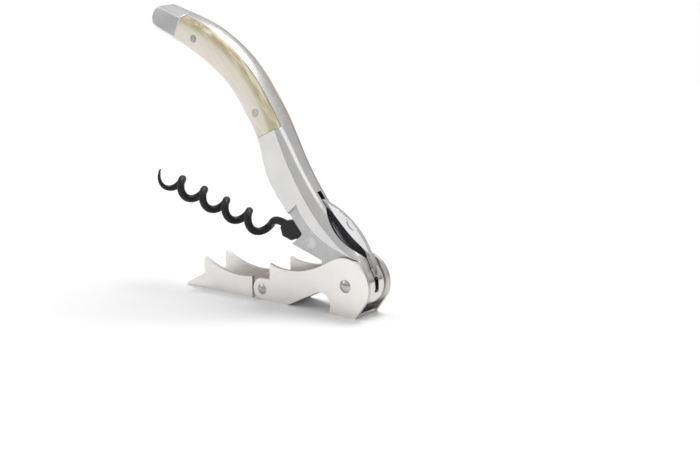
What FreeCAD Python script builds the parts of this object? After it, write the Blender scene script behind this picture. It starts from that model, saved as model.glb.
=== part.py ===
import FreeCAD, Part
import math
import os

# Lever corkscrew with a two-step lever, millimetres.
# Row frame: +X towards the pivot head, +Y across the walls, +Z up. The lever stands on the
# plane Z = 0 and the origin is on that plane, straight below the main pivot.
# Every piece is first drawn in the shut frame: origin on the main pivot, the handle's grip
# and the lever's toe both towards -X. A point there is given as (along, high): its distance
# from the pivot towards the grip or toe, and its height above the pivot.

# ---- overall sizes ----
lever_width = 12.2            # across the outer faces of the lever's walls
lever_sheet = 1.2             # sheet steel of both lever stages
pivot_height = 10.2           # main pivot above the lever's underside
rest_opening = 49.2           # degrees between handle and lever as it stands
shut_opening = 4.5            # the same when the walls lie in the handle's recesses
full_opening = 100.0          # the same when the heel comes up to the foil knife
fit = 0.05                    # radial clearance of a turning pin
nest_gap = 0.25               # round the lever's walls when they lie in the handle

# ---- handle sections: along, crest, crease, belly, then how far the lower side and the
# crease lie in from the lever's half width ----
handle_sections = [
    (-9.0, 8.2, 7.3, -4.6, 0.1, 1.1),
    (0.0, 8.3, 7.6, -4.6, 0.1, 1.0),
    (5.0, 9.4, 7.9, -4.6, 0.1, 0.8),
    (10.0, 8.5, 6.0, -4.6, 0.1, 0.8),
    (17.0, 7.2, 4.5, -4.6, 0.1, 0.8),
    (25.0, 6.9, 3.9, -4.6, 0.1, 0.8),
    (33.0, 7.2, 4.3, -4.6, 0.1, 0.8),
    (41.0, 8.1, 5.5, -4.3, 0.1, 0.8),
    (48.0, 9.4, 7.1, -2.6, 0.2, 0.8),
    (56.0, 10.9, 9.2, 0.7, 0.5, 1.0),
    (64.0, 11.9, 10.4, 2.2, 0.6, 1.1),
    (72.0, 12.5, 11.0, 2.9, 0.6, 1.1),
    (80.0, 12.2, 10.7, 2.3, 0.6, 1.1),
    (88.0, 10.6, 9.1, 0.1, 0.6, 1.1),
    (95.0, 8.2, 6.7, -2.6, 0.6, 1.1),
    (102.0, 4.6, 3.1, -6.1, 0.6, 1.1),
    (108.0, 0.7, -0.7, -9.6, 0.8, 1.4),
    (117.0, -5.6, -6.8, -11.4, 1.5, 2.1),
]
belly_round = 1.3             # rounding along the handle's lower edges
grip_front = ((54.5, 10.6), (56.9, 0.8))      # line where the scales meet the steel body
grip_rear = ((106.8, 1.5), (102.5, -6.3))     # line where they meet the end cap
scale_gap = 0.08              # hairline at the ends of the scales
tang_width = 5.5              # steel spine between the scales
scale_pin_radius = 1.1
scale_pins = {"scale_pin_inner": (63.5, 6.2), "scale_pin_outer": (97.3, 0.9)}
tip_centre = (111.4, -6.3)    # rounded end of the cap
tip_radius = 4.0
tip_round = 1.2
cap_dowel_radius = 1.3
cap_dowel_length = 8.0

# ---- head of the handle ----
washer_thickness = 0.25
washer_play = 0.05            # each side, between the washer and the lever's wall
head_radius = 8.2
head_round = 0.85
ear_corner = 22.6             # how far the worm's ear reaches along the handle
ear_gap = 0.3                 # between the ear and the lever's sloping web
ear_notch = (24.6, -4.4)      # inner corner of the cut-out in front of the ear
ear_notch_round = 1.2

# ---- lever, first stage ----
cheek_radius = 9.2
heel = (-4.0, 7.25)           # ends of the flat heel: behind and in front of the pivot
cheek_leaves = -25.0          # degrees below level where the cheek turns down to the heel
cap_notch_rise = 2.8          # centre of the cap notch above the lever's underside
cap_notch_centre = (9.8, cap_notch_rise - pivot_height)
cap_notch_radius = 3.8
web_vertex = 23.5             # where the sloping web meets the flat web
neck = [(9.0, 5.6), (14.0, 3.3), (20.0, 1.8), (25.0, 1.6), (28.6, 2.0)]
neck_starts = 68.0            # degrees above level where the neck leaves the round cheek
claw_tip = (30.8, 2.8)
step_hinge = (34.2, -6.5)
step_radius = 3.7             # round end of the first stage about the step hinge
flat_web_end = 36.0

# ---- lever, second stage ----
step_in = 4.5                 # degrees it folds towards the handle
step_out = 25.0               # degrees it swings away from the handle
second_start = 38.4
second_top = [(45.0, -3.3), (51.0, -2.4), (55.5, -0.9)]
fang_tip = (58.9, 0.9)
fang_root = (59.1, -4.9)
toe = (67.2, -9.5)
ear_sheet = 1.0
ear_play = 0.1                # each ear lies this far inside the first stage's wall
step_ear_radius = 2.4
step_ear_end = 40.6

# ---- rivets and washers ----
pivot_radius = 1.5
pivot_dome_radius = 2.2
pivot_dome_height = 0.9
washer_radius = 2.9
step_rivet_radius = 1.1
step_dome_radius = 1.8
step_dome_height = 0.7
step_rivet_foot = 0.4

# ---- worm ----
worm_pivot = (18.8, -3.5)
worm_rest_angle = -35.4       # degrees from the handle's length, negative is swung out
worm_shut_angle = 3.1
worm_wire = 2.6
worm_outer = 7.8
worm_pitch = 10.2
worm_offset = -4.5            # coil's centre line from the line through its pivot
worm_coil_start = 22.35
worm_lead = [(12.6, 0.0, 0.0), (15.0, 0.0, 0.0), (17.2, -0.2, 0.25), (19.3, -1.0, 0.95), (21.0, -2.5, 1.9)]
worm_full_turns = 4.0
worm_tip_turns = 0.72
worm_tip_radius = 0.3
tang_thickness = 3.6
tang_eye_radius = 3.0
tang_outline = [(7.6, 2.0), (11.2, 2.5), (14.2, 1.2), (14.9, -1.2), (13.4, -3.6), (9.6, -3.8), (7.6, -2.4)]
worm_pin_radius = 1.2
worm_pin_head_radius = 2.2
worm_pin_head = 0.8
spacer_thickness = 0.7
spacer_radius = 2.6
worm_slot_play = 0.1
groove_gap = 0.45

# ---- foil knife ----
knife_pivot = (0.2, 6.0)
knife_pin_radius = 0.9
knife_thickness = 1.6
knife_slot_width = 2.0
knife_slot_end = 31.0
knife_slot_floor = 2.8
knife_open_angle = 130.0
knife_tang_radius = 3.0
knife_square = [(-2.7, 6.6), (-2.7, 8.3)]     # squared end of the blade's tang
knife_back = [(3.4, 10.9), (11.0, 12.1), (18.0, 11.2), (24.0, 9.0)]
knife_tip = (28.3, 6.5)
knife_edge = [(23.0, 4.7), (15.0, 4.1), (6.0, 4.2)]
knife_bevel_top = 6.2
knife_edge_thickness = 0.3
knife_sweep_radius = 3.9      # room for the tang to turn in the head
nose_slot_end = (-6.6, 4.7)   # where the slot stops on the round head
nick_centre = (15.6, 12.9)
nick_radius = 3.0
nick_depth = 0.35
scoop_centre = 16.0           # finger scoop either side of the blade
scoop_length = 27.0
scoop_axis = 9.6
scoop_radius = 4.9
spring_thickness = 0.85
spring_reach = (4.4, 27.5)
spring_play = 0.1

half_width = lever_width / 2
wall_inside = half_width - lever_sheet
head_width = 2 * (wall_inside - washer_thickness - washer_play)
reach = 200.0                 # larger than anything cut


def at(point, y=0.0):
    along, high = point
    return FreeCAD.Vector(-along, y, high)


def line(a, b):
    return Part.LineSegment(at(a), at(b)).toShape()


def arc(a, middle, b):
    return Part.Arc(at(a), at(middle), at(b)).toShape()


def curve(points, start_tangent=None):
    spline = Part.BSplineCurve()
    vectors = [at(p) for p in points]
    if start_tangent is None:
        spline.interpolate(vectors)
    else:
        tangents = [at(start_tangent)] + [FreeCAD.Vector(0, 0, 0)] * (len(vectors) - 1)
        known = [True] + [False] * (len(vectors) - 1)
        spline.interpolate(Points=vectors, Tangents=tangents, TangentFlags=known)
    return spline.toShape()


def on_circle(centre, radius, angle):
    return (centre[0] + radius * math.cos(math.radians(angle)),
            centre[1] + radius * math.sin(math.radians(angle)))


def plate(edges, y_low, y_high):
    """Closed side outline, given the thickness between two Y planes."""
    face = Part.Face(Part.Wire(Part.__sortEdges__(edges)))
    face.translate(FreeCAD.Vector(0, y_low, 0))
    return face.extrude(FreeCAD.Vector(0, y_high - y_low, 0))


def polygon(points, y_low, y_high):
    edges = [line(points[i - 1], points[i]) for i in range(len(points))]
    return plate(edges, y_low, y_high)


def rod(point, radius, y_low, y_high):
    return Part.makeCylinder(radius, y_high - y_low, at(point, y_low), FreeCAD.Vector(0, 1, 0))


def through(point, radius):
    return rod(point, radius, -reach, reach)


def turned(shape, point, degrees):
    """Turns a shape about a Y axis; positive lifts what lies towards the grip."""
    copy = shape.copy()
    copy.rotate(at(point), FreeCAD.Vector(0, 1, 0), degrees)
    return copy


def turned_point(point, degrees):
    vector = FreeCAD.Rotation(FreeCAD.Vector(0, 1, 0), degrees).multVec(at(point))
    return (-vector.x, vector.z)


def mirrored(shape):
    return shape.mirror(FreeCAD.Vector(0, 0, 0), FreeCAD.Vector(0, 1, 0))


def both_sides(shape):
    return shape.fuse(mirrored(shape))


def one_solid(shape):
    clean = shape.removeSplitter()
    return clean.Solids[0] if len(clean.Solids) == 1 else clean


def dome(point, radius, height, y):
    """Domed rivet head standing outward from the plane Y = y, on the negative side."""
    sphere_radius = (radius ** 2 + height ** 2) / (2 * height)
    ball = Part.makeSphere(sphere_radius, at(point, y + sphere_radius - height))
    return ball.common(rod(point, radius, y - height, y))


# ---------------------------------------------------------------- handle

def section_wire(section):
    along, crest, crease, belly, low_inset, crease_inset = section
    low_half = half_width - low_inset
    crease_half = half_width - crease_inset
    x = -along

    def p(y, z):
        return FreeCAD.Vector(x, y, z)

    r = belly_round
    inset = r * (1 - math.sqrt(0.5))
    corners = [p(low_half - r, belly), p(low_half, belly + r), p(crease_half, crease)]
    far = [FreeCAD.Vector(v.x, -v.y, v.z) for v in reversed(corners)]
    edges = [
        Part.Arc(corners[0], p(low_half - inset, belly + inset), corners[1]).toShape(),
        Part.LineSegment(corners[1], corners[2]).toShape(),
        Part.Arc(corners[2], p(0, crest), far[0]).toShape(),
        Part.LineSegment(far[0], far[1]).toShape(),
        Part.Arc(far[1], p(inset - low_half, belly + inset), far[2]).toShape(),
        Part.LineSegment(far[2], corners[0]).toShape(),
    ]
    return Part.Wire(edges)


def handle_envelope():
    return Part.makeLoft([section_wire(s) for s in handle_sections], True)


def beyond(a, b, side):
    """Half space past the line a-b, towards the grip's end (side 1) or the head (side -1)."""
    direction = (b[0] - a[0], b[1] - a[1])
    length = math.hypot(*direction)
    unit = (direction[0] / length, direction[1] / length)
    normal = (-unit[1] * side, unit[0] * side)
    far = reach / 2
    low = (a[0] - unit[0] * far, a[1] - unit[1] * far)
    high = (a[0] + unit[0] * far, a[1] + unit[1] * far)
    return polygon([low, high,
                    (high[0] + normal[0] * reach, high[1] + normal[1] * reach),
                    (low[0] + normal[0] * reach, low[1] + normal[1] * reach)], -reach, reach)


def joint_normal(joint):
    (a, b) = joint
    length = math.hypot(b[0] - a[0], b[1] - a[1])
    return (-(b[1] - a[1]) / length, (b[0] - a[0]) / length)


def moved_line(joint, distance):
    normal = joint_normal(joint)
    return [(p[0] + normal[0] * distance, p[1] + normal[1] * distance) for p in joint]


def lever_wall_edges():
    """Side outline of the first stage's walls."""
    underside = -pivot_height
    heel_back, heel_front = heel
    leave = on_circle((0, 0), cheek_radius, 180 - cheek_leaves)
    top = on_circle((0, 0), cheek_radius, 120)
    start = on_circle((0, 0), cheek_radius, neck_starts)
    tangent = (math.sin(math.radians(neck_starts)), -math.cos(math.radians(neck_starts)))
    notch_low = notch_foot()
    slope_top = slope_touch()
    heel_angle = math.degrees(math.atan2(notch_low[1] - cap_notch_centre[1],
                                         notch_low[0] - cap_notch_centre[0]))
    touch_angle = math.degrees(math.atan2(slope_top[1] - cap_notch_centre[1],
                                          slope_top[0] - cap_notch_centre[0]))
    over = (heel_angle + 360 + touch_angle) / 2
    hinge_low = (step_hinge[0], underside)
    hinge_high = (step_hinge[0], step_hinge[1] + step_radius)
    return [
        line(notch_low, (heel_back, underside)),
        line((heel_back, underside), leave),
        arc(leave, top, start),
        curve(neck_points(0), tangent),
        line(claw_tip, (claw_tip[0] + 0.2, hinge_high[1])),
        line((claw_tip[0] + 0.2, hinge_high[1]), hinge_high),
        arc(hinge_high, (step_hinge[0] + step_radius, step_hinge[1]), hinge_low),
        line(hinge_low, (web_vertex, underside)),
        line((web_vertex, underside), slope_top),
        arc(slope_top, on_circle(cap_notch_centre, cap_notch_radius, over), notch_low),
    ]


def notch_foot():
    """Where the round cap notch runs out through the heel's underside."""
    drop = -pivot_height - cap_notch_centre[1]
    return (cap_notch_centre[0] - math.sqrt(cap_notch_radius ** 2 - drop ** 2), -pivot_height)


def slope_touch():
    """Where the sloping underside touches the round cap notch."""
    dx = web_vertex - cap_notch_centre[0]
    dz = -pivot_height - cap_notch_centre[1]
    distance = math.hypot(dx, dz)
    towards = math.atan2(dz, dx)
    half = math.acos(cap_notch_radius / distance)
    return on_circle(cap_notch_centre, cap_notch_radius, math.degrees(towards + half))


def slope_line(depth):
    """The sloping underside, moved inward by a depth: two points."""
    a = (web_vertex, -pivot_height)
    b = slope_touch()
    length = math.hypot(b[0] - a[0], b[1] - a[1])
    normal = ((b[1] - a[1]) / length, (a[0] - b[0]) / length)
    return [(p[0] + normal[0] * depth, p[1] + normal[1] * depth) for p in (a, b)]


def neck_points(gap):
    """Top of the first stage from the round cheek to the claw, moved outward by a gap."""
    points = [on_circle((0, 0), cheek_radius, neck_starts)] + neck + [claw_tip]
    moved = [on_circle((0, 0), cheek_radius + gap, neck_starts)]
    for before, point, after in zip(points, points[1:], points[2:]):
        run = (after[0] - before[0], after[1] - before[1])
        length = math.hypot(*run)
        moved.append((point[0] - run[1] * gap / length, point[1] + run[0] * gap / length))
    return moved + [(claw_tip[0] + gap, claw_tip[1] + gap)]


def recess_tool():
    """What is taken off each side of the head so that the lever's walls lie in it."""
    top = neck_points(nest_gap)
    wall_end = claw_tip[0] + 0.2 + nest_gap
    corners = [top[-1], (wall_end, -20.0), (-20.0, -20.0), (-20.0, 0.0), (0.0, 0.0), top[0]]
    edges = [curve(top)] + [line(a, b) for a, b in zip(corners, corners[1:])]
    pocket = turned(plate(edges, head_width / 2, reach), (0, 0), -shut_opening)
    disc = rod((0, 0), cheek_radius + nest_gap, head_width / 2, reach)
    return both_sides(pocket.fuse(disc))


def ear():
    """Cheek that carries the worm's pivot; it lies just inside the lever's sloping web."""
    low, high = [turned_point(p, -shut_opening) for p in slope_line(lever_sheet + ear_gap)]
    slope = (low[1] - high[1]) / (low[0] - high[0])
    corner = (ear_corner, high[1] + slope * (ear_corner - high[0]))
    root = (4.0, high[1] + slope * (4.0 - high[0]))
    body = polygon([root, corner, (ear_corner, ear_notch[1] + 0.5), (ear_corner, 2.0), (4.0, 2.0)],
                   -head_width / 2, head_width / 2)
    return body


def web_room():
    """Room under the belly for the lever's sloping web when it is folded."""
    low, high = slope_line(-ear_gap)
    low_in, high_in = slope_line(lever_sheet + ear_gap)
    length = math.hypot(high[0] - low[0], high[1] - low[1])
    step = ((high[0] - low[0]) * ear_gap / length, (high[1] - low[1]) * ear_gap / length)
    ends = [(p[0] + step[0], p[1] + step[1]) for p in (high, high_in)]
    return turned(polygon([low, ends[0], ends[1], low_in], -reach, reach), (0, 0), -shut_opening)


def ear_fillet():
    """Small round in the corner between the ear and the body's lower edge."""
    r = ear_notch_round
    square = polygon([(ear_corner, ear_notch[1] + 1), (ear_corner + r, ear_notch[1] + 1),
                      (ear_corner + r, ear_notch[1] - r), (ear_corner, ear_notch[1] - r)],
                     -head_width / 2, head_width / 2)
    return square.cut(through((ear_corner + r, ear_notch[1] - r), r))


def worm_slot():
    """Space between the ears for the worm's tang."""
    half = tang_thickness / 2 + spacer_thickness + worm_slot_play
    room = tang_eye_radius + 0.4
    round_end = rod(worm_pivot, room, -half, half)
    rear = worm_pivot[0] + worm_coil_start
    box = polygon([(worm_pivot[0] - room, worm_pivot[1]), (worm_pivot[0] - room, -reach), (rear, -reach),
                   (rear, worm_pivot[1] + room), (worm_pivot[0], worm_pivot[1] + room)], -half, half)
    return round_end.fuse(box)


def worm_groove():
    """Half-round groove in the body's underside that the folded coil lies in."""
    start = at((worm_pivot[0] + worm_coil_start - 4.5, worm_pivot[1] + worm_offset))
    tool = Part.makeCylinder(worm_outer / 2 + groove_gap, 60, start, FreeCAD.Vector(-1, 0, 0))
    return turned(tool, worm_pivot, worm_shut_angle)


def knife_slot():
    half = knife_slot_width / 2
    floor = knife_slot_floor
    below_pivot = knife_pivot[1] - knife_sweep_radius
    main = polygon([(knife_pivot[0], floor), (knife_slot_end, floor), (knife_slot_end, reach),
                    (knife_pivot[0], reach)], -half, half)
    nose = polygon([(knife_pivot[0], below_pivot), nose_slot_end, (-reach, nose_slot_end[1] + 100),
                    (knife_pivot[0], reach)], -half, half)
    return main.fuse([nose, rod(knife_pivot, knife_sweep_radius, -half, half)])


def finger_scoops():
    """Spindle-shaped hollow that bares both sides of the blade."""
    half = scoop_length / 2
    a = (scoop_centre - half, scoop_axis)
    b = (scoop_centre + half, scoop_axis)
    edges = [arc(a, (scoop_centre, scoop_axis - scoop_radius), b), line(b, a)]
    face = Part.Face(Part.Wire(edges))
    return face.revolve(at(a), FreeCAD.Vector(1, 0, 0), 360)


def head_disc():
    """Round head about the main pivot, its two rims rounded."""
    disc = rod((0, 0), head_radius, -head_width / 2, head_width / 2)
    rims = [e for e in disc.Edges if abs(e.Length - 2 * math.pi * head_radius) < 0.1]
    return disc.makeFillet(head_round, rims)


def make_handle_body(envelope):
    body = envelope.cut(beyond(grip_rear[0], grip_rear[1], 1))
    grip = beyond(grip_front[0], grip_front[1], 1)
    for side in (-1, 1):
        y_low, y_high = sorted((side * tang_width / 2, side * reach))
        flank = Part.makeBox(2 * reach, y_high - y_low, 2 * reach,
                             FreeCAD.Vector(-reach, y_low, -reach))
        body = body.cut(grip.common(flank))
    nose_box = Part.makeBox(reach, 2 * reach, 2 * reach, FreeCAD.Vector(0, -reach, -reach))
    body = body.cut(nose_box).cut(recess_tool()).cut(web_room())
    for piece in (head_disc(), ear(), ear_fillet()):
        body = body.fuse(piece)
    body = body.cut(worm_slot()).cut(worm_groove()).cut(knife_slot()).cut(finger_scoops())
    body = body.cut(through((0, 0), pivot_radius + fit))
    body = body.cut(through(knife_pivot, knife_pin_radius))
    body = body.cut(worm_pin_space(0.0))
    for point in scale_pins.values():
        body = body.cut(through(point, scale_pin_radius))
    body = body.cut(cap_dowel_shape())
    return one_solid(body)


def cap_dowel_shape():
    (a, b) = grip_rear
    centre = ((a[0] + b[0]) / 2, (a[1] + b[1]) / 2)
    normal = joint_normal(grip_rear)
    half = cap_dowel_length / 2
    start = (centre[0] - normal[0] * half, centre[1] - normal[1] * half)
    return Part.makeCylinder(cap_dowel_radius, cap_dowel_length, at(start), at(normal))


def make_end_cap(envelope):
    axis = joint_normal(grip_rear)
    cap = envelope.common(beyond(grip_rear[0], grip_rear[1], 1))
    end = beyond(tip_centre, (tip_centre[0] + axis[1], tip_centre[1] - axis[0]), 1)
    cap = cap.cut(end.cut(through(tip_centre, tip_radius)))
    return one_solid(cap.cut(cap_dowel_shape()))


def make_scale(envelope, side):
    front = moved_line(grip_front, scale_gap)
    rear = moved_line(grip_rear, -scale_gap)
    y_low, y_high = sorted((side * tang_width / 2, side * reach))
    flank = Part.makeBox(2 * reach, y_high - y_low, 2 * reach, FreeCAD.Vector(-reach, y_low, -reach))
    scale = envelope.common(flank).common(beyond(front[0], front[1], 1))
    scale = scale.cut(beyond(rear[0], rear[1], 1))
    for point in scale_pins.values():
        scale = scale.cut(through(point, scale_pin_radius))
    return one_solid(scale)


def make_scale_pin(envelope, point):
    return envelope.common(rod(point, scale_pin_radius, -reach, reach))


# ---------------------------------------------------------------- lever

def make_first_stage():
    wall = plate(lever_wall_edges(), wall_inside, half_width)
    wall = wall.cut(through((0, 0), pivot_radius)).cut(through(step_hinge, step_rivet_radius))
    low, high = slope_line(0)
    low_in, high_in = slope_line(lever_sheet)
    top = lever_sheet - pivot_height
    inner_slope = (low_in[1] - high_in[1]) / (low_in[0] - high_in[0])
    inner_vertex = (high_in[0] + (top - high_in[1]) / inner_slope, top)
    web = polygon([(flat_web_end, -pivot_height), low, high, high_in, inner_vertex, (flat_web_end, top)],
                  -wall_inside, wall_inside)
    heel_web = polygon([(heel[0], -pivot_height), (notch_foot()[0], -pivot_height),
                        (notch_foot()[0], top), (heel[0], top)], -wall_inside, wall_inside)
    keep = plate(lever_wall_edges(), -wall_inside, wall_inside)
    heel_web = heel_web.common(keep)
    return one_solid(both_sides(wall).fuse([web.common(keep), heel_web]))


def make_second_stage():
    underside = -pivot_height
    outline = [
        line((second_start, underside), (second_start, step_hinge[1] + step_radius)),
        curve([(second_start, step_hinge[1] + step_radius)] + second_top + [fang_tip]),
        arc(fang_tip, (fang_tip[0] + 0.5, (fang_tip[1] + fang_root[1]) / 2), fang_root),
        line(fang_root, toe),
        line(toe, (toe[0], underside)),
        line((toe[0], underside), (second_start, underside)),
    ]
    wall = plate(outline, wall_inside, half_width)
    ear_out = wall_inside - ear_play
    joggle = plate(step_ear_edges(), ear_out - ear_sheet, ear_out)
    joggle = joggle.cut(through(step_hinge, step_rivet_radius + fit))
    top = step_hinge[1] + step_ear_radius
    tie = polygon([(second_start + 0.3, top), (step_ear_end, top), (step_ear_end, ear_low(step_ear_end)),
                   (second_start + 0.3, ear_low(second_start + 0.3))], ear_out - ear_sheet, half_width)
    web = polygon([(second_start, underside), (toe[0], underside), (toe[0], toe[1]),
                   (toe[0] - 1.0, underside + lever_sheet), (second_start, underside + lever_sheet)],
                  -wall_inside, wall_inside)
    return one_solid(both_sides(wall.fuse([joggle, tie])).fuse(web))


def ear_low(along):
    """Lower edge of the second stage's ears, sloped so that they clear the web when swung out."""
    slope = math.tan(math.radians(step_out))
    reach_down = step_ear_radius / math.cos(math.radians(step_out))
    return step_hinge[1] - reach_down + slope * (along - step_hinge[0])


def step_ear_edges():
    top = step_hinge[1] + step_ear_radius
    touch = on_circle(step_hinge, step_ear_radius, -90 + step_out)
    crown = (step_hinge[0], top)
    return [
        line(crown, (step_ear_end, top)),
        line((step_ear_end, top), (step_ear_end, ear_low(step_ear_end))),
        line((step_ear_end, ear_low(step_ear_end)), touch),
        arc(touch, (step_hinge[0] - step_ear_radius, step_hinge[1]), crown),
    ]


def make_step_rivet():
    """Rivet on the negative Y side: a dome outside, a flat foot inside."""
    inside = -(wall_inside - ear_play - ear_sheet)
    shank = rod(step_hinge, step_rivet_radius, -half_width, inside)
    foot = rod(step_hinge, step_rivet_radius + 0.5, inside + fit, inside + fit + step_rivet_foot)
    neck_part = rod(step_hinge, step_rivet_radius, inside, inside + fit)
    return one_solid(shank.fuse([foot, neck_part, dome(step_hinge, step_dome_radius, step_dome_height,
                                                       -half_width)]))


def make_main_pin():
    shank = rod((0, 0), pivot_radius, -half_width, half_width)
    head = dome((0, 0), pivot_dome_radius, pivot_dome_height, -half_width)
    return one_solid(shank.fuse([head, mirrored(head)]))


def make_washer():
    y_high = -head_width / 2
    ring = rod((0, 0), washer_radius, y_high - washer_thickness, y_high)
    return ring.cut(through((0, 0), pivot_radius + 2 * fit))


# ---------------------------------------------------------------- worm

def worm_tang():
    half = tang_thickness / 2
    eye = rod(worm_pivot, tang_eye_radius, -half, half)
    p, q = worm_pivot
    outline = [(p, q + tang_eye_radius)] + [(p + a, q + b) for a, b in tang_outline]
    outline.append((p, q - tang_eye_radius))
    return eye.fuse(polygon(outline, -half, half))


def ring_at(centre, normal, radius):
    return Part.Wire(Part.Circle(centre, normal, radius).toShape())


def worm_coil():
    """Lead-in from the tang, full turns, and the last turn drawn out to a point."""
    p, q = worm_pivot
    radius = (worm_outer - worm_wire) / 2
    rise = worm_pitch / (2 * math.pi)
    wire_radius = worm_wire / 2

    def coil_point(turn):
        angle = 2 * math.pi * turn
        return FreeCAD.Vector(-(p + worm_coil_start + worm_pitch * turn),
                              radius * math.cos(angle),
                              q + worm_offset - radius * math.sin(angle))

    def coil_tangent(turn):
        angle = 2 * math.pi * turn
        return FreeCAD.Vector(-rise, -radius * math.sin(angle), -radius * math.cos(angle)).normalize()

    lead = Part.BSplineCurve()
    lead_points = [FreeCAD.Vector(-(p + along), y, q + high) for along, high, y in worm_lead]
    lead.interpolate(Points=lead_points + [coil_point(0)], InitialTangent=FreeCAD.Vector(-1, 0, 0),
                     FinalTangent=coil_tangent(0))
    lead_ring = ring_at(lead_points[0], FreeCAD.Vector(-1, 0, 0), wire_radius)
    lead_in = Part.Wire([lead.toShape()]).makePipeShell([lead_ring], True, False)

    helix = Part.makeHelix(worm_pitch, worm_pitch * worm_full_turns, radius)
    helix.Placement = FreeCAD.Placement(
        coil_point(0) - FreeCAD.Vector(0, radius, 0),
        FreeCAD.Rotation(FreeCAD.Vector(0, 1, 0), FreeCAD.Vector(0, 0, -1), FreeCAD.Vector(-1, 0, 0), "XYZ"))
    coil_ring = ring_at(coil_point(0), coil_tangent(0), wire_radius)
    turns = Part.Wire(helix.Edges).makePipeShell([coil_ring], True, True)

    steps = 9
    end_turn = worm_full_turns + worm_tip_turns
    last = [coil_point(worm_full_turns + worm_tip_turns * i / steps) for i in range(steps + 1)]
    tip = Part.BSplineCurve()
    tip.interpolate(Points=last, InitialTangent=coil_tangent(worm_full_turns),
                    FinalTangent=coil_tangent(end_turn))
    drawn = Part.BRepOffsetAPI.MakePipeShell(Part.Wire(tip.toShape()))
    drawn.add(ring_at(last[0], coil_tangent(worm_full_turns), wire_radius))
    drawn.add(ring_at(last[-1], coil_tangent(end_turn), worm_tip_radius))
    drawn.build()
    drawn.makeSolid()
    return [lead_in, turns, drawn.shape()]


def make_worm():
    shape = worm_tang()
    for length in worm_coil():
        shape = shape.fuse(length)
    shape = shape.cut(through(worm_pivot, worm_pin_radius + fit))
    return turned(one_solid(shape), worm_pivot, worm_rest_angle)


def worm_pin_space(extra):
    half = head_width / 2
    shape = rod(worm_pivot, worm_pin_radius + extra, -half, half)
    for side in (-1, 1):
        y_low, y_high = sorted((side * (half - worm_pin_head), side * half))
        shape = shape.fuse(rod(worm_pivot, worm_pin_head_radius + extra, y_low, y_high))
    return shape


def make_worm_spacer():
    y_low = -tang_thickness / 2 - spacer_thickness - worm_slot_play / 2
    ring = rod(worm_pivot, spacer_radius, y_low, y_low + spacer_thickness)
    return ring.cut(through(worm_pivot, worm_pin_radius + fit))


# ---------------------------------------------------------------- knife

def make_knife():
    half = knife_thickness / 2
    start = on_circle(knife_pivot, knife_tang_radius, -40)
    low = on_circle(knife_pivot, knife_tang_radius, -115)
    left = on_circle(knife_pivot, knife_tang_radius, 170)
    edges = [
        line(left, knife_square[0]),
        line(knife_square[0], knife_square[1]),
        curve([knife_square[1]] + knife_back + [knife_tip]),
        curve([knife_tip] + knife_edge),
        line(knife_edge[-1], start),
        arc(start, low, left),
    ]
    blade = plate(edges, -half, half)
    fine = knife_edge_thickness / 2
    bottom = knife_edge[1][1]
    x_start = -knife_tip[0] - 1
    length = knife_tip[0] + 1 - knife_edge[-1][0]
    wedge = Part.Face(Part.makePolygon([
        FreeCAD.Vector(x_start, half, knife_bevel_top), FreeCAD.Vector(x_start, half + 1, knife_bevel_top),
        FreeCAD.Vector(x_start, half + 1, bottom - 1), FreeCAD.Vector(x_start, fine, bottom - 1),
        FreeCAD.Vector(x_start, fine, bottom), FreeCAD.Vector(x_start, half, knife_bevel_top)]))
    blade = blade.cut(both_sides(wedge.extrude(FreeCAD.Vector(length, 0, 0))))
    nick = Part.makeCylinder(nick_radius, nick_depth + 1, at(nick_centre, -half - 1), FreeCAD.Vector(0, 1, 0))
    blade = blade.cut(nick)
    return one_solid(blade.cut(through(knife_pivot, knife_pin_radius + fit)))


def make_knife_pin():
    return rod(knife_pivot, knife_pin_radius, -head_width / 2, head_width / 2)


def make_knife_spring():
    half = knife_slot_width / 2 - spring_play
    near, far = spring_reach
    floor = knife_slot_floor
    top = floor + spring_thickness
    return polygon([(near, floor), (far, floor), (far, top), (near, top)], -half, half)


# ---------------------------------------------------------------- assembly

def stand(shape):
    copy = shape.copy()
    copy.translate(FreeCAD.Vector(0, 0, pivot_height))
    return copy


def stand_open(shape):
    return stand(turned(shape, (0, 0), rest_opening))


def build():
    envelope = handle_envelope()
    rivet = make_step_rivet()
    washer = make_washer()
    spacer = make_worm_spacer()
    handle_pieces = {
        "handle_body": make_handle_body(envelope),
        "end_cap": make_end_cap(envelope),
        "cap_dowel": cap_dowel_shape(),
        "scale_left": make_scale(envelope, -1),
        "scale_right": make_scale(envelope, 1),
        "pivot_washer_left": washer,
        "pivot_washer_right": mirrored(washer),
        "worm": make_worm(),
        "worm_pivot_pin": worm_pin_space(0.0),
        "worm_spacer_left": spacer,
        "worm_spacer_right": mirrored(spacer),
        "knife_blade": make_knife(),
        "knife_pivot_pin": make_knife_pin(),
        "knife_spring": make_knife_spring(),
    }
    for name, point in scale_pins.items():
        handle_pieces[name] = make_scale_pin(envelope, point)
    lever_pieces = {
        "lever_first_stage": make_first_stage(),
        "lever_second_stage": make_second_stage(),
        "main_pivot_pin": make_main_pin(),
        "step_rivet_left": rivet,
        "step_rivet_right": mirrored(rivet),
    }
    pieces = {name: stand_open(shape) for name, shape in handle_pieces.items()}
    pieces.update({name: stand(shape) for name, shape in lever_pieces.items()})
    return pieces


os.makedirs("parts", exist_ok=True)
for node, shape in build().items():
    shape.exportStep("parts/" + node + ".step")
    box = shape.BoundBox
    print(node, len(shape.Solids), shape.isValid(), round(shape.Volume, 2),
          [round(v, 1) for v in (box.XMin, box.YMin, box.ZMin, box.XMax, box.YMax, box.ZMax)])
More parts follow.
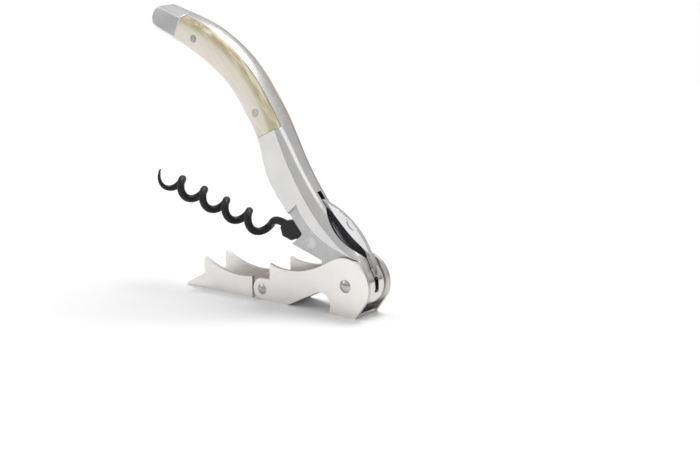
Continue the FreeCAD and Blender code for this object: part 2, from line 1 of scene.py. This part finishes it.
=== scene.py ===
import math
import bpy
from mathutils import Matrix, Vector

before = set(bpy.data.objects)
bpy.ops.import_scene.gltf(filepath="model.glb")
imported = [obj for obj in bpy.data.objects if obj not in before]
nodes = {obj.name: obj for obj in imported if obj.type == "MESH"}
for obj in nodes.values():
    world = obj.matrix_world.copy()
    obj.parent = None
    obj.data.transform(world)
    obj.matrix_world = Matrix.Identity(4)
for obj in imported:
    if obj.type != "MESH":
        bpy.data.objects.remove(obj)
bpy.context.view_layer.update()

print("frame loaded,", len(nodes), "pieces")


# A number or colour that varies over a surface. Plain arithmetic on it adds Math nodes.
class Value:
    def __init__(self, graph, socket):
        self.graph = graph
        self.socket = socket

    def math(self, operation, first, second=0.0):
        return self.graph.node("ShaderNodeMath", {"operation": operation}, {0: first, 1: second})

    def __add__(self, other):
        return self.math("ADD", self, other)

    def __radd__(self, other):
        return self.math("ADD", other, self)

    def __sub__(self, other):
        return self.math("SUBTRACT", self, other)

    def __rsub__(self, other):
        return self.math("SUBTRACT", other, self)

    def __mul__(self, other):
        return self.math("MULTIPLY", self, other)

    def __rmul__(self, other):
        return self.math("MULTIPLY", other, self)

    def __pow__(self, other):
        return self.math("POWER", self, other)

    def __abs__(self):
        return self.math("ABSOLUTE", self)

    def root(self):
        return self.math("SQRT", self)

    def larger(self, other):
        return self.math("MAXIMUM", self, other)

    def rising(self, low, high):   # 0 below low, 1 above high
        settings = {"interpolation_type": "SMOOTHSTEP", "clamp": True}
        return self.graph.node("ShaderNodeMapRange", settings, {0: self, 1: low, 2: high, 3: 0.0, 4: 1.0})

    def falling(self, low, high):  # 1 below low, 0 above high
        return 1 - self.rising(low, high)


# A node tree, and the one way that nodes are added to it.
class Graph:
    def __init__(self, tree):
        self.tree = tree

    def node(self, kind, settings=None, sockets=None, output=0):
        made = self.tree.nodes.new(kind)
        for key, setting in (settings or {}).items():
            if key == "stops":
                self.fillRamp(made.color_ramp.elements, setting)
            else:
                setattr(made, key, setting)
        for key, given in (sockets or {}).items():
            self.feed(made.inputs[key], given)
        return Value(self, made.outputs[output])

    def fillRamp(self, elements, stops):
        while len(elements) < len(stops):
            elements.new(0.5)
        for element, (position, colour) in zip(elements, stops):
            element.position = position
            element.color = (*colour, 1)

    def feed(self, socket, given):
        if isinstance(given, Value):
            self.tree.links.new(given.socket, socket)
        else:
            socket.default_value = given


# One material.
class Finish(Graph):
    def __init__(self, name):
        self.material = bpy.data.materials.new(name)
        self.material.use_nodes = True
        super().__init__(self.material.node_tree)
        self.tree.nodes.clear()
        self.shader = self.tree.nodes.new("ShaderNodeBsdfPrincipled")
        output = self.tree.nodes.new("ShaderNodeOutputMaterial")
        self.tree.links.new(self.shader.outputs[0], output.inputs[0])

    def place(self):               # x, y and z in the object's own frame, metres
        spot = self.node("ShaderNodeTexCoord", output="Object")
        return [self.node("ShaderNodeSeparateXYZ", None, {0: spot}, axis) for axis in range(3)]

    def sideways(self):            # 1 where the surface faces along Y
        way = self.node("ShaderNodeTexCoord", output="Normal")
        return abs(self.node("ShaderNodeSeparateXYZ", None, {0: way}, 1))

    def alongHandle(self):         # distance from the pivot towards the grip, y, height off that line
        x, y, z = self.place()
        cos, sin = math.cos(handle["lean"]), math.sin(handle["lean"])
        up = z - handle["pivotHeight"]
        return up * sin - x * cos, y, x * sin + up * cos

    def grain(self, axes, perMetre, detail, roughness=0.5):
        stretched = [axis * count for axis, count in zip(axes, perMetre)]
        vector = self.node("ShaderNodeCombineXYZ", None, dict(enumerate(stretched)))
        return self.node("ShaderNodeTexNoise", None,
                         {"Vector": vector, "Scale": 1.0, "Detail": detail, "Roughness": roughness})

    def mixed(self, mask, under, over):
        def full(colour):
            return colour if isinstance(colour, Value) else (*colour, 1)
        given = {0: mask, 6: full(under), 7: full(over)}
        return self.node("ShaderNodeMix", {"data_type": "RGBA"}, given, 2)

    def bumped(self, height, depth, edge):   # surface relief over softened edges
        soft = self.node("ShaderNodeBevel", {"samples": edgeSamples}, {"Radius": edge})
        relief = {"Strength": 1.0, "Distance": depth, "Height": height, "Normal": soft}
        self.put("Normal", self.node("ShaderNodeBump", None, relief))

    def put(self, name, given):
        self.feed(self.shader.inputs[name], given)

    def dress(self, *names):
        for name in names:
            piece = nodes[name]
            if not piece.material_slots:
                piece.data.materials.append(self.material)
            for slot in piece.material_slots:
                slot.material = self.material


# The first amount, plus a share of each value by the amounts that follow.
def weighted(amounts, *values):
    total = amounts[0]
    for share, value in zip(amounts[1:], values):
        total = total + share * value
    return total


# Lengths are in metres. Each grain is counts per metre along three axes, detail and, where given,
# roughness. Each pair named for an edge or a span is where a soft mask begins and ends.
edgeSamples = 6
middleSpan = (0.3, 0.7)

handle = {
    "lean": math.radians(49.2), "pivotHeight": 0.0102,
    "steel": (0.70, 0.69, 0.675), "cloudSteel": (0.66, 0.655, 0.65),
    "lineDark": (0.50, 0.49, 0.475), "lineBright": (0.70, 0.69, 0.67),
    "cheekDark": (0.50, 0.505, 0.51), "cheekPale": (0.56, 0.56, 0.56),
    # The near-black colour for the finger scoop is painted shade in its recess.
    "scoopPaintedShade": (0.045, 0.045, 0.05), "lipDark": (0.05, 0.05, 0.055), "lipShare": 0.8,
    "polish": ((90, 3200, 3200), 3), "cloud": ((160,) * 3, 2), "lines": ((7500, 90, 7500), 2),
    "cast": ((1800,) * 3, 5), "mottle": ((520,) * 3, 5, 0.65),
    "cloudSpan": (0.35, 0.65), "mottleSpan": (0.25, 0.75),
    "gripStart": (0.0545, 0.0555), "gripEnd": (0.1058, 0.1068),
    "spineEdge": (0.00275, 0.00285), "lipEdge": (0.00261, 0.00273),
    "cheekStart": (0.00452, 0.00457), "cheekEnd": (0.00464, 0.0047), "cheekFacing": (0.85, 0.97),
    "scoopMiddle": 0.016, "scoopAxis": 0.0096, "scoopArc": 0.02105, "scoopSink": 0.01615,
    "scoopEdge": 0.0002, "scoopMetal": 0.3,
    "rough": (0.11, 0.07, 0.04, 0.2, 0.24, 0.26, 0.2),
    "relief": (0.0, 0.12, 1.0, 3.0, 0.35), "depth": 0.000012, "edge": 0.00018}


def handleSteel():
    steel = Finish("polishedHandleSteel")
    spot = along, across, high = steel.alongHandle()
    polish = steel.grain(spot, *handle["polish"])
    cloud = steel.grain(spot, *handle["cloud"])
    lines = steel.grain(spot, *handle["lines"])
    cast = steel.grain(spot, *handle["cast"])
    mottle = steel.grain(spot, *handle["mottle"])
    side = abs(across)
    grip = along.rising(*handle["gripStart"])
    spine = side.falling(*handle["spineEdge"]) * grip * along.falling(*handle["gripEnd"])
    flat = side.rising(*handle["cheekStart"]) * side.falling(*handle["cheekEnd"])
    cheek = flat * steel.sideways().rising(*handle["cheekFacing"])
    offMiddle = along - handle["scoopMiddle"]
    spindle = (handle["scoopArc"] ** 2 - offMiddle * offMiddle).larger(0.0).root() - handle["scoopSink"]
    fromAxis = (across * across + (high - handle["scoopAxis"]) ** 2).root()
    scoop = (spindle + handle["scoopEdge"] - fromAxis).rising(0.0, handle["scoopEdge"])
    lip = side.rising(*handle["lipEdge"]) * spine
    body = steel.mixed(cloud.rising(*handle["cloudSpan"]), handle["steel"], handle["cloudSteel"])
    lined = steel.mixed(lines.rising(*middleSpan), handle["lineDark"], handle["lineBright"])
    mottled = steel.mixed(mottle.rising(*handle["mottleSpan"]), handle["cheekDark"], handle["cheekPale"])
    satin = steel.mixed(cheek, steel.mixed(spine, body, lined), mottled)
    lipped = steel.mixed(lip * handle["lipShare"], satin, handle["lipDark"])
    # Painted shade: the finger scoop is coloured near black, with less metal, in place of the shade and
    # dark reflection in its recess.
    steel.put("Base Color", steel.mixed(scoop, lipped, handle["scoopPaintedShade"]))
    steel.put("Metallic", 1 - scoop * handle["scoopMetal"])
    steel.put("Roughness", weighted(handle["rough"], polish, cloud, spine, cheek, scoop, scoop * cast))
    relief = weighted(handle["relief"], polish, lines * spine, cast * scoop, cheek * mottle)
    steel.bumped(relief, handle["depth"], handle["edge"])
    steel.dress("handle_body")


cap = {
    "steel": (0.84, 0.83, 0.82), "cloudSteel": (0.78, 0.78, 0.78),
    "polish": ((200, 2600, 2600), 3), "cloud": ((220,) * 3, 2),
    "rough": (0.20, 0.08, 0.03), "depth": 0.000002, "edge": 0.00045}


def capSteel():
    steel = Finish("polishedCapSteel")
    spot = steel.alongHandle()
    polish = steel.grain(spot, *cap["polish"])
    cloud = steel.grain(spot, *cap["cloud"])
    steel.put("Base Color", steel.mixed(cloud.rising(*middleSpan), cap["steel"], cap["cloudSteel"]))
    steel.put("Metallic", 1.0)
    steel.put("Roughness", weighted(cap["rough"], polish, cloud))
    steel.bumped(polish, cap["depth"], cap["edge"])
    steel.dress("end_cap")


scale = {
    "cream": (0.82, 0.75, 0.64), "pale": (0.90, 0.85, 0.77), "ochre": (0.40, 0.29, 0.11),
    "green": (0.66, 0.67, 0.45), "speck": (0.16, 0.10, 0.05), "seam": (0.03, 0.025, 0.02),
    "streak": ((70, 700, 480), 5, 0.6), "cloud": ((90, 130, 130), 3),
    "fibre": ((260, 3800, 2600), 3), "pore": ((900, 5200, 3600), 2),
    "poreSpan": (0.70, 0.77), "topFacing": (0.55, 0.93), "jointSpan": (0.0545, 0.071),
    "backTop": 0.0110, "backMiddle": 0.073, "backBend": 9.8,
    "greenDepth": (0.0006, 0.0052), "ochreDepth": (0.0002, 0.0021), "seamEdge": (0.00278, 0.00291),
    "pins": ((0.0635, 0.0062), (0.0973, 0.0009)), "pinRing": (0.00114, 0.00134),
    "paleSpan": (0.32, 0.68), "greenSpan": (0.25, 0.7), "ochreSpan": (0.30, 0.58),
    # The ochre shares are the bone's own amber along the back edge, then painted bevel shade added where
    # the surface faces up.
    "greenBack": 0.55, "greenJoint": 0.8, "ochreAndBevelShadeShare": (0.62, 0.25), "poreShare": (0.4, 0.4),
    "seamShare": 0.85, "rough": (0.24, 0.12, 0.25, 0.3), "relief": (0.0, 0.5, -1.2, 0.3),
    "glow": 0.15, "glowReach": (1.0, 0.75, 0.45), "glowScale": 0.0012,
    "coat": 0.35, "coatRough": 0.12, "depth": 0.000018, "edge": 0.00022}


def boneScale():
    bone = Finish("polishedBone")
    spot = along, across, high = bone.alongHandle()
    streak = bone.grain(spot, *scale["streak"])
    cloud = bone.grain(spot, *scale["cloud"])
    fibre = bone.grain(spot, *scale["fibre"])
    pore = bone.grain(spot, *scale["pore"]).rising(*scale["poreSpan"])
    top = 1 - bone.sideways().rising(*scale["topFacing"])
    joint = along.falling(*scale["jointSpan"])
    offMiddle = along - scale["backMiddle"]
    belowBack = scale["backTop"] - offMiddle * offMiddle * scale["backBend"] - high
    nearBack = belowBack.falling(*scale["greenDepth"])
    rimmed = belowBack.falling(*scale["ochreDepth"])
    seam = abs(across).falling(*scale["seamEdge"])
    for pinAlong, pinHigh in scale["pins"]:
        fromPin = ((along - pinAlong) ** 2 + (high - pinHigh) ** 2).root()
        seam = seam.larger(fromPin.falling(*scale["pinRing"]))
    body = bone.mixed(streak.rising(*scale["paleSpan"]), scale["cream"], scale["pale"])
    atJoint = joint * cloud.rising(*scale["greenSpan"]) * scale["greenJoint"]
    greened = bone.mixed((nearBack * scale["greenBack"]).larger(atJoint), body, scale["green"])
    # The ochre band along the back edge is the bone's own amber; its extra share where the surface turns
    # up from the side is painted bevel shade.
    ochreAndBevelShade = rimmed * streak.rising(*scale["ochreSpan"]) * weighted(scale["ochreAndBevelShadeShare"], top)
    ochreAndBevelShaded = bone.mixed(ochreAndBevelShade, greened, scale["ochre"])
    pored = bone.mixed(pore * weighted(scale["poreShare"], nearBack), ochreAndBevelShaded, scale["speck"])
    bone.put("Base Color", bone.mixed(seam * scale["seamShare"], pored, scale["seam"]))
    bone.put("Roughness", weighted(scale["rough"], fibre, pore, seam))
    bone.put("Subsurface Weight", scale["glow"])
    bone.put("Subsurface Radius", scale["glowReach"])
    bone.put("Subsurface Scale", scale["glowScale"])
    bone.put("Coat Weight", scale["coat"])
    bone.put("Coat Roughness", scale["coatRough"])
    bone.bumped(weighted(scale["relief"], fibre, pore, streak), scale["depth"], scale["edge"])
    bone.dress("scale_left", "scale_right")


lever = {
    "sheet": (0.90, 0.865, 0.835), "cloudSheet": (0.86, 0.83, 0.80), "sheared": (0.40, 0.395, 0.39),
    "brush": ((70, 900, 2600), 4), "cloud": ((130,) * 3, 3), "shear": ((2600, 240, 2600), 2),
    "cutFacing": (0.4, 0.8), "cutShare": (0.55, 0.3),
    "rough": (0.23, 0.12, 0.05, 0.05), "relief": (0.0, 0.5, 1.2), "depth": 0.000010, "edge": 0.00012}


def leverSteel():
    sheet = Finish("satinLeverSteel")
    spot = sheet.place()
    brush = sheet.grain(spot, *lever["brush"])
    cloud = sheet.grain(spot, *lever["cloud"])
    shear = sheet.grain(spot, *lever["shear"])
    cut = 1 - sheet.sideways().rising(*lever["cutFacing"])
    face = sheet.mixed(cloud.rising(*middleSpan), lever["sheet"], lever["cloudSheet"])
    sheet.put("Base Color", sheet.mixed(cut * weighted(lever["cutShare"], shear), face, lever["sheared"]))
    sheet.put("Metallic", 1.0)
    sheet.put("Roughness", weighted(lever["rough"], brush, cloud, cut))
    sheet.bumped(weighted(lever["relief"], brush, shear * cut), lever["depth"], lever["edge"])
    sheet.dress("lever_first_stage", "lever_second_stage")


pin = {
    "steel": (0.60, 0.59, 0.58), "cloudSteel": (0.46, 0.455, 0.45),
    "cloud": ((500,) * 3, 2), "fine": ((4200,) * 3, 2),
    "rough": (0.17, 0.12), "depth": 0.000004, "edge": 0.0001}


def pinSteel():
    metal = Finish("turnedPinSteel")
    spot = metal.place()
    cloud = metal.grain(spot, *pin["cloud"])
    fine = metal.grain(spot, *pin["fine"])
    metal.put("Base Color", metal.mixed(cloud.rising(*middleSpan), pin["steel"], pin["cloudSteel"]))
    metal.put("Metallic", 1.0)
    metal.put("Roughness", weighted(pin["rough"], fine))
    metal.bumped(fine, pin["depth"], pin["edge"])
    metal.dress("main_pivot_pin", "step_rivet_left", "step_rivet_right", "scale_pin_inner",
                "scale_pin_outer", "worm_pivot_pin", "knife_pivot_pin", "cap_dowel")


knife = {
    "steel": (0.76, 0.76, 0.755), "cloudSteel": (0.70, 0.70, 0.70), "groundEdge": (0.0060, 0.0062),
    "scratch": ((5200, 5200, 160), 2), "cloud": ((240,) * 3, 2),
    "rough": (0.03, 0.16, 0.04), "flatRelief": 0.1, "depth": 0.000004, "edge": 0.0001}


def knifeSteel():
    blade = Finish("mirrorBladeSteel")
    spot = blade.alongHandle()
    ground = spot[2].falling(*knife["groundEdge"])
    scratch = blade.grain(spot, *knife["scratch"])
    cloud = blade.grain(spot, *knife["cloud"])
    blade.put("Base Color", blade.mixed(cloud.rising(*middleSpan), knife["steel"], knife["cloudSteel"]))
    blade.put("Metallic", 1.0)
    blade.put("Roughness", weighted(knife["rough"], ground, scratch))
    blade.bumped(scratch * (knife["flatRelief"] + ground), knife["depth"], knife["edge"])
    blade.dress("knife_blade", "knife_spring")


worm = {
    "coated": (0.007, 0.007, 0.009), "worn": (0.035, 0.035, 0.04), "wornSpan": (0.60, 0.78),
    "wornShare": 0.6, "pebble": ((2600,) * 3, 3), "rub": ((210,) * 3, 4), "rough": (0.40, 0.14, 0.08),
    "shine": 0.35, "coat": 0.08, "coatRough": 0.2, "depth": 0.00002, "edge": 0.00012}


def wormCoat():
    black = Finish("blackNonStickCoat")
    spot = black.place()
    pebble = black.grain(spot, *worm["pebble"])
    rub = black.grain(spot, *worm["rub"])
    bare = rub.rising(*worm["wornSpan"]) * worm["wornShare"]
    black.put("Base Color", black.mixed(bare, worm["coated"], worm["worn"]))
    black.put("Roughness", weighted(worm["rough"], pebble, rub))
    black.put("Specular IOR Level", worm["shine"])
    black.put("Coat Weight", worm["coat"])
    black.put("Coat Roughness", worm["coatRough"])
    black.bumped(pebble, worm["depth"], worm["edge"])
    black.dress("worm")


washer = {
    "bronze": (0.60, 0.44, 0.27), "dullBronze": (0.42, 0.31, 0.19), "dull": ((700,) * 3, 4),
    "rough": (0.3, 0.2), "depth": 0.000005, "edge": 0.00006}


def washerBronze():
    metal = Finish("plainBronze")
    dull = metal.grain(metal.place(), *washer["dull"])
    metal.put("Base Color", metal.mixed(dull.rising(*middleSpan), washer["bronze"], washer["dullBronze"]))
    metal.put("Metallic", 1.0)
    metal.put("Roughness", weighted(washer["rough"], dull))
    metal.bumped(dull, washer["depth"], washer["edge"])
    metal.dress("pivot_washer_left", "pivot_washer_right", "worm_spacer_left", "worm_spacer_right")


for make in (handleSteel, capSteel, boneScale, leverSteel, pinSteel, knifeSteel, wormCoat, washerBronze):
    make()
print("finishes made")


ground = {"half": 4.0, "paper": (0.93, 0.93, 0.93), "rough": 0.7, "shine": 0.15}


def makeFloor():
    half = ground["half"]
    corners = [(-half, -half, 0), (half, -half, 0), (half, half, 0), (-half, half, 0)]
    mesh = bpy.data.meshes.new("floor")
    mesh.from_pydata(corners, [], [(0, 1, 2, 3)])
    floor = bpy.data.objects.new("floor", mesh)
    bpy.context.scene.collection.objects.link(floor)
    paper = Finish("studioPaper")
    paper.put("Base Color", (*ground["paper"], 1))
    paper.put("Roughness", ground["rough"])
    paper.put("Specular IOR Level", ground["shine"])
    floor.data.materials.append(paper.material)


# The sky's pairs are a height, from the horizon to straight up, and the shade of grey there.
studio = {
    "sunStrength": 1.6, "sunSpread": 30, "sunFrom": (0.10, 0.45, 1.0), "aim": (-0.03, 0, 0.04),
    "panels": [("front", (-0.55, -0.45, 0.45), (0.5, 0.35), 0.5),
               ("side", (0.60, 0.10, 0.40), (0.25, 0.6), 0.3)],
    "skyStrength": 0.60, "skyBlue": 1.01,
    "sky": [(0.0, 0.62), (0.03, 0.30), (0.07, 0.50), (0.13, 0.72), (0.26, 1.02), (0.6, 1.05), (1.0, 1.1)]}


def makeLight(name, kind, place, target):
    data = bpy.data.lights.new(name, kind)
    lamp = bpy.data.objects.new(name, data)
    lamp.location = place
    lamp.rotation_euler = (Vector(target) - Vector(place)).to_track_quat("-Z", "Y").to_euler()
    bpy.context.scene.collection.objects.link(lamp)
    return data


def makeSky():
    world = bpy.data.worlds.new("room")
    bpy.context.scene.world = world
    world.use_nodes = True
    sky = Graph(world.node_tree)
    spot = sky.node("ShaderNodeTexCoord", output="Generated")
    height = sky.node("ShaderNodeSeparateXYZ", None, {0: spot}, 2)
    stops = [(position, (shade, shade, shade * studio["skyBlue"])) for position, shade in studio["sky"]]
    background = sky.tree.nodes["Background"]
    sky.feed(background.inputs[0], sky.node("ShaderNodeValToRGB", {"stops": stops}, {0: height}))
    sky.feed(background.inputs[1], studio["skyStrength"])


def makeStudio():
    sun = makeLight("sun", "SUN", studio["sunFrom"], (0, 0, 0))
    sun.energy = studio["sunStrength"]
    sun.angle = math.radians(studio["sunSpread"])
    for name, place, size, power in studio["panels"]:
        panel = makeLight(name, "AREA", place, studio["aim"])
        panel.shape = "RECTANGLE"
        panel.size, panel.size_y = size
        panel.energy = power


view = {
    "place": (0.2998, -0.4101, 0.1502), "way": (-0.5765, 0.7820, -0.2368), "lens": 84.34,
    "sensor": 36, "nearest": 0.01}


def makeCamera():
    data = bpy.data.cameras.new("camera")
    camera = bpy.data.objects.new("camera", data)
    camera.location = view["place"]
    camera.rotation_euler = Vector(view["way"]).to_track_quat("-Z", "Y").to_euler()
    data.lens = view["lens"]
    data.sensor_width = view["sensor"]
    data.clip_start = view["nearest"]
    bpy.context.scene.collection.objects.link(camera)
    bpy.context.scene.camera = camera


makeFloor()
makeStudio()
makeSky()
makeCamera()
bpy.context.scene.view_settings.view_transform = "Standard"
print("studio ready")
